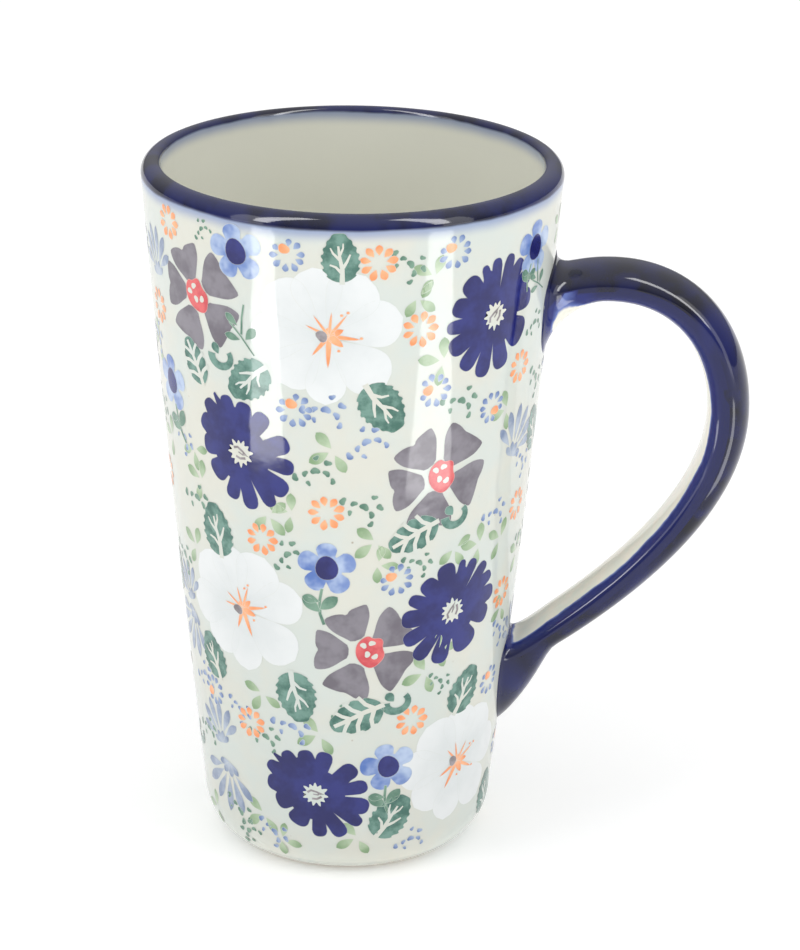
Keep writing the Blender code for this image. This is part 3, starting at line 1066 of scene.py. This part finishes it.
make_stamp("toothed_leaf", [toothed(12.4, 9.4, 7)])
veins = [
    stroke(1.3, 0.5, (0, -6.6), (0.3, -3), (-0.1, 0), (-0.3, 3)),
    stroke(0.8, 0.4, (0.1, -3.8), (-1.2, -2.2), (-2.6, -1.6)),
    stroke(0.9, 0.4, (0.1, -3), (1.5, -1), (2.4, 0.8)),
    stroke(0.8, 0.3, (0, -0.6), (-1.6, 1.2), (-2.2, 2.6)),
    stroke(0.6, 0.3, (0, 0.8), (0.8, 2.4), (0.9, 3.6)),
]
make_stamp("veins", veins)
LEAVES = [
    (1, 147, 4, 0.86), (-26, 118, 130, 0.95), (13, 114, 215, 1), (-42, 81, 8, 1), (-50, 49, 20, 0.9),
    (-14, 45, 190, 1), (49, 43, -25, 0.95), (21, 15, -35, 0.95), (75, 11, 0, 0.9), (78, 99, 20, 0.9),
    (-78, 63, -20, 0.9),
]
press("leaf_green_paint", "toothed_leaf", 0.055, LEAVES)
press("cream_lines", "veins", 0.07, LEAVES)

# %% Split leaves and hooked beans
make_stamp("split_leaf", [toothed(12.6, 8.2, 4)])
split_veins = [
    stroke(1.2, 0.9, (0, -6.6), (0.3, -2), (0, 2), (-0.2, 5.4)),
    stroke(1, 0.9, (0, -4.2), (-2, -2.6), (-4.4, -2)),
    stroke(1, 0.9, (0, -4.6), (2, -3), (4.4, -2.2)),
    stroke(1, 0.9, (0, -1.2), (-2, 0.6), (-4.2, 1.4)),
    stroke(1, 0.9, (0, -1.6), (2, 0.2), (4.2, 1.2)),
    stroke(0.9, 0.8, (0, 1.6), (-1.4, 3.2), (-2.6, 4.2)),
    stroke(0.9, 0.8, (0, 1.2), (1.4, 2.8), (2.8, 3.8)),
]
make_stamp("split_veins", split_veins)
hook_angles = between(radians(170), radians(395), 14)
hook = [(2.6 * cos(angle), 2.6 * sin(angle) * 0.85) for angle in hook_angles]
bean = spin_points(drop(2.8, 2.2, 0.6, 0.6), 30, -0.6, 0.4)
make_stamp("hooked_bean", [stroke(2.2, 1.4, *hook), bean])
SPLIT = [(-46, 119, 25, 0.85), (24, 84, 115, 0.95), (7, 41, 115, 1), (80, 127, 20, 0.9)]
HOOKS = [(-35, 122, 0, 1), (38, 87, 10, 1), (21, 44, 10, 1), (-72, 24, 0, 0.9)]
press("leaf_green_paint", "split_leaf", 0.055, SPLIT)
press("leaf_green_paint", "hooked_bean", 0.055, HOOKS)
press("cream_lines", "split_veins", 0.07, SPLIT)

# %% [markdown]
# ## Plumes, sprigs and dots
# Plumes of grey blue fan out from a foot, pale green leaves lie in threes, a thin green spray
# crosses a grey flower, and rows of dots in green and blue fill what room is left. These are
# single touches of the brush, pooled at one end.

# %% Plumes
plume_drops = [
    (28, 6.4, 2.2), (52, 8.2, 2.4), (76, 8.6, 2.2), (100, 8.8, 2.3), (124, 8.2, 2.4), (150, 6.6, 2.2),
]
short_drops = [(3.6, 1.7, turn, 0, -1) for turn in (-60, -20, 20, 60)]
make_stamp("plume", fan(plume_drops, 2.2, 0.66, 0.7, 22) + touches(short_drops, 0.62))
PLUMES = [
    (62, 97, -20, 1), (-47, 22, 165, 1.1), (-50, 28, 15, 0.9), (-64, 135, 10, 0.95), (-62, 56, 150, 1),
    (-63, 60, 20, 0.8), (84, 48, 10, 0.9), (-85, 109, 0, 0.95),
]
press("plume_paint", "plume", 0.04, PLUMES)

# %% Pale green threes
three = touches([(4.6, 2.4, 62, -0.4, 0.6), (4.4, 2.4, -18, 0.5, 0.6), (4.2, 2.2, 150, -0.3, -0.6)])
make_stamp("three_leaves", three)
THREES = [
    (26, 142, 0, 1), (22, 138, 170, 0.95), (-1, 104, 60, 1.1), (-21, 88, 160, 1.05),
    (-14, 89, 20, 0.95), (12, 83, 70, 1.05), (49, 78, 20, 1.05), (39, 79, 150, 0.95), (60, 77, 0, 1),
    (-27, 44, 90, 1), (31, 50, 50, 1.1), (-6, 36, 60, 1.1), (8, 10, 60, 1), (-48, 91, 10, 1.05),
    (-50, 98, 130, 0.95), (30, 123, 20, 1.1), (56, 108, 40, 1), (-55, 74, 0, 1.05), (-30, 13, 70, 1.05),
    (-22, 8, 200, 0.9), (13, 78, 200, 0.9), (36, 55, 220, 0.9), (-66, 97, 20, 1), (82, 144, 0, 0.9),
    (-80, 38, 0, 1), (67, 59, 60, 0.9), (88, 85, 0, 0.9), (-60, 8, 30, 0.9), (-70, 118, 40, 1),
    (76, 70, 0, 1),
]
press("sprig_green_paint", "three_leaves", 0.035, THREES)

# %% A green spray over the grey flower's right side
spray = [
    stroke(0.5, 0.45, (-3.2, -0.6), (-0.4, -3.4), (2.6, -7.2)),
    stroke(0.5, 0.6, (0.6, 3.8), (0, 0.8), (-0.3, -3)),
]
spray += touches([(3.8, 1.8, 50, -1.2, -1.2), (4, 1.8, 80, -0.6, -4.2), (3.8, 2.2, -42, 0.6, -4)])
make_stamp("spray", spray, steps=0.001)
press("dot_green_paint", "spray", 0.06, [(-27, 131, 0, 1), (66, 137, 20, 0.8)])

# %% Rows of dots
row_places = [
    (-3.4, 3.2, 0.85), (-1.4, 1.9, 0.72), (0.4, 0.4, 0.95), (1.2, -1.9, 0.78), (0.3, -3.9, 0.7),
    (3.1, 1.7, 0.66), (3.4, -0.9, 0.8), (-2.9, 0.2, 0.6),
]
row = [blot(size, 0.2, n, 14, x, y) for n, (x, y, size) in enumerate(row_places)]
make_stamp("row_of_dots", row)
GREEN_ROWS = [
    (19, 145, 0, 0.9), (37, 113, 30, 1), (8, 91, 20, 1), (-51, 86, 40, 1), (-43, 11, 0, 1),
    (-39, 149, 90, 0.6), (-6, 99, 60, 1), (-15, 79, 90, 0.9), (-27, 33, 30, 0.9), (74, 111, 0, 1),
    (-66, 69, 20, 1), (80, 73, 30, 0.9), (-74, 103, 0, 1), (-88, 75, 0, 1), (68, 125, 60, 0.8),
    (-60, 28, 40, 0.9), (37, 47, 0, 0.7), (2, 42, 70, 0.5), (26, 77, 20, 0.8), (-38, 7, 100, 0.8),
]
BLUE_ROWS = [
    (-3, 113, 40, 1.05), (9, 106, 80, 1), (-26, 9, 0, 0.9), (-16, 37, 30, 1), (-56, 99, 0, 0.9),
    (56, 84, 40, 0.9), (-58, 42, 60, 0.9), (70, 93, 0, 0.9), (30, 8, 60, 0.8), (-72, 119, 30, 1),
    (88, 111, 20, 0.9), (68, 53, 0, 0.9), (-38, 38, 0, 0.8),
]
press("dot_green_paint", "row_of_dots", 0.04, GREEN_ROWS)
press("dab_blue_paint", "row_of_dots", 0.04, BLUE_ROWS)

# %% Gather each paint into its own layer
gather("white_petals", "white_paint")
gather("grey_petals", "grey_paint")
gather("pale_green_leaves", "sprig_green_paint")
gather("grey_blue_plumes", "plume_paint")
gather("blue_dabs", "dab_blue_paint")
gather("cobalt_petals", "cobalt_paint")
gather("blue_petals", "sky_blue_paint")
gather("dark_green_leaves", "leaf_green_paint")
gather("green_stems_and_dots", "dot_green_paint")
gather("cream_veins_and_seeds", "cream_lines")
gather("red_berries", "red_paint")
gather("orange_flowers", "orange_paint")
gather("grey_marks", "grey_line_paint")

# %% Put the flat stamps away
for stamp in stamps.values():
    bpy.data.objects.remove(stamp)

# %% [markdown]
# ## Floor, lights and camera
# A pale floor, a white room and two tall soft boxes, one on each side of the camera, as in a
# product studio. The glaze mirrors a narrower pair of boxes and two strips of light on the floor
# as upright streaks, which tell the eye how glossy it is.

# %% The floor
FLOOR_SIZE = 8
PAPER_ROUGHNESS, PAPER_GLOW = 0.9, 0.17
work_on()
bpy.ops.mesh.primitive_plane_add(size=FLOOR_SIZE)
floor_finish = Finish("white_paper", PAPER_ROUGHNESS)
paper = floor_finish.fade(floor_finish.noise(3, 3), 0.2, 0.8)
floor_finish.colour(floor_finish.blend(paper, tint(252, 252, 252), tint(255, 255, 255)))
floor_finish.shader.inputs["Emission Color"].default_value = (1, 1, 1, 1)
floor_finish.shader.inputs["Emission Strength"].default_value = PAPER_GLOW
floor = finish_shape("floor", floor_finish.material, smooth=False)

# %% The lights
CAMERA_SIDE = radians(-86)
BOX_TURN, BOX_DISTANCE, BOX_HEIGHT, BOX_SIZE = 56, 1.0, 0.45, (0.35, 1.0)
GLINT_DISTANCE, GLINT_HEIGHT, GLINT_SIZE = 0.45, 0.52, (0.10, 0.70)
BOX_POWER, STRIP_POWER = 2.0, 0.35
STREAK_LEFT, STREAK_RIGHT = -47.7, 46.8
STRIP_END = 0.45


def area_light(name, turn, distance, height, size, power):
    """A rectangular lamp, so many degrees round from the camera's side of the mug."""
    bearing = CAMERA_SIDE + radians(turn)
    lamp = bpy.data.lights.new(name, "AREA")
    lamp.shape = "RECTANGLE"
    lamp.size, lamp.size_y = size
    lamp.energy = power
    light = bpy.data.objects.new(name, lamp)
    light.location = (axis_x + distance * cos(bearing), distance * sin(bearing), height)
    light.rotation_euler = (pi, 0, bearing)
    bpy.context.scene.collection.objects.link(light)
    return light


def soft_box(name, turn, distance, height, size):
    """A tall soft box that faces the mug."""
    box = area_light(name, turn, distance, height, size, BOX_POWER)
    aim = Vector((axis_x, 0, MUG_HEIGHT * 0.6)) - box.location
    box.rotation_euler = aim.to_track_quat("-Z", "Y").to_euler()
    return box


def light_strip(name, turn, near, wide):
    """A strip that lies on the floor and points away from the mug, which mirrors it."""
    size = (STRIP_END - near, wide)
    strip = area_light(name, turn, (near + STRIP_END) / 2, 1 * MM, size, STRIP_POWER)
    strip.visible_camera = False


soft_box("soft_box_left", -BOX_TURN, BOX_DISTANCE, BOX_HEIGHT, BOX_SIZE)
soft_box("soft_box_right", BOX_TURN, BOX_DISTANCE, BOX_HEIGHT, BOX_SIZE)
for name, turn in (("glint_box_left", STREAK_LEFT), ("glint_box_right", STREAK_RIGHT)):
    glint = soft_box(name, turn, GLINT_DISTANCE, GLINT_HEIGHT, GLINT_SIZE)
    glint.visible_diffuse = False
light_strip("strip_left", STREAK_LEFT, 0.21, 0.085)
light_strip("strip_right", STREAK_RIGHT, 0.19, 0.095)

# %% The white room, brighter overhead
ROOM_LOW, ROOM_HIGH = 0.28, 1.15
world = bpy.data.worlds.new("white_room")
world.use_nodes = True
nodes, links = world.node_tree.nodes, world.node_tree.links
toward = nodes.new("ShaderNodeTexCoord")
split = nodes.new("ShaderNodeSeparateXYZ")
upward = nodes.new("ShaderNodeMapRange")
upward.inputs["To Min"].default_value = ROOM_LOW
upward.inputs["To Max"].default_value = ROOM_HIGH
links.new(toward.outputs["Generated"], split.inputs["Vector"])
links.new(split.outputs["Z"], upward.inputs["Value"])
links.new(upward.outputs["Result"], nodes["Background"].inputs["Strength"])
nodes["Background"].inputs["Color"].default_value = (1, 1, 1, 1)
bpy.context.scene.world = world
bpy.context.scene.view_settings.view_transform = "Standard"

# %% The camera
STAND_BACK = 0.650
CAMERA_HEIGHT = 0.3390
LOOK_ASIDE = radians(-3.03)
LOOK_DOWN = 0.3740
CAMERA_ROLL = 0.0150
LENS_LENGTH = 120.0
SENSOR_WIDTH = 36
lens = bpy.data.cameras.new("camera")
lens.lens = LENS_LENGTH
lens.sensor_width = SENSOR_WIDTH
camera = bpy.data.objects.new("camera", lens)
ahead, aside = STAND_BACK * cos(CAMERA_SIDE), STAND_BACK * sin(CAMERA_SIDE)
camera.location = (axis_x + ahead, aside, CAMERA_HEIGHT)
turn = Matrix.Rotation(-LOOK_ASIDE, 3, "Z") @ Matrix.Rotation(pi / 2 - LOOK_DOWN, 3, "X")
camera.rotation_euler = (turn @ Matrix.Rotation(CAMERA_ROLL, 3, "Z")).to_euler()
bpy.context.scene.collection.objects.link(camera)
bpy.context.scene.camera = camera
print("camera at", [round(part, 3) for part in camera.location])
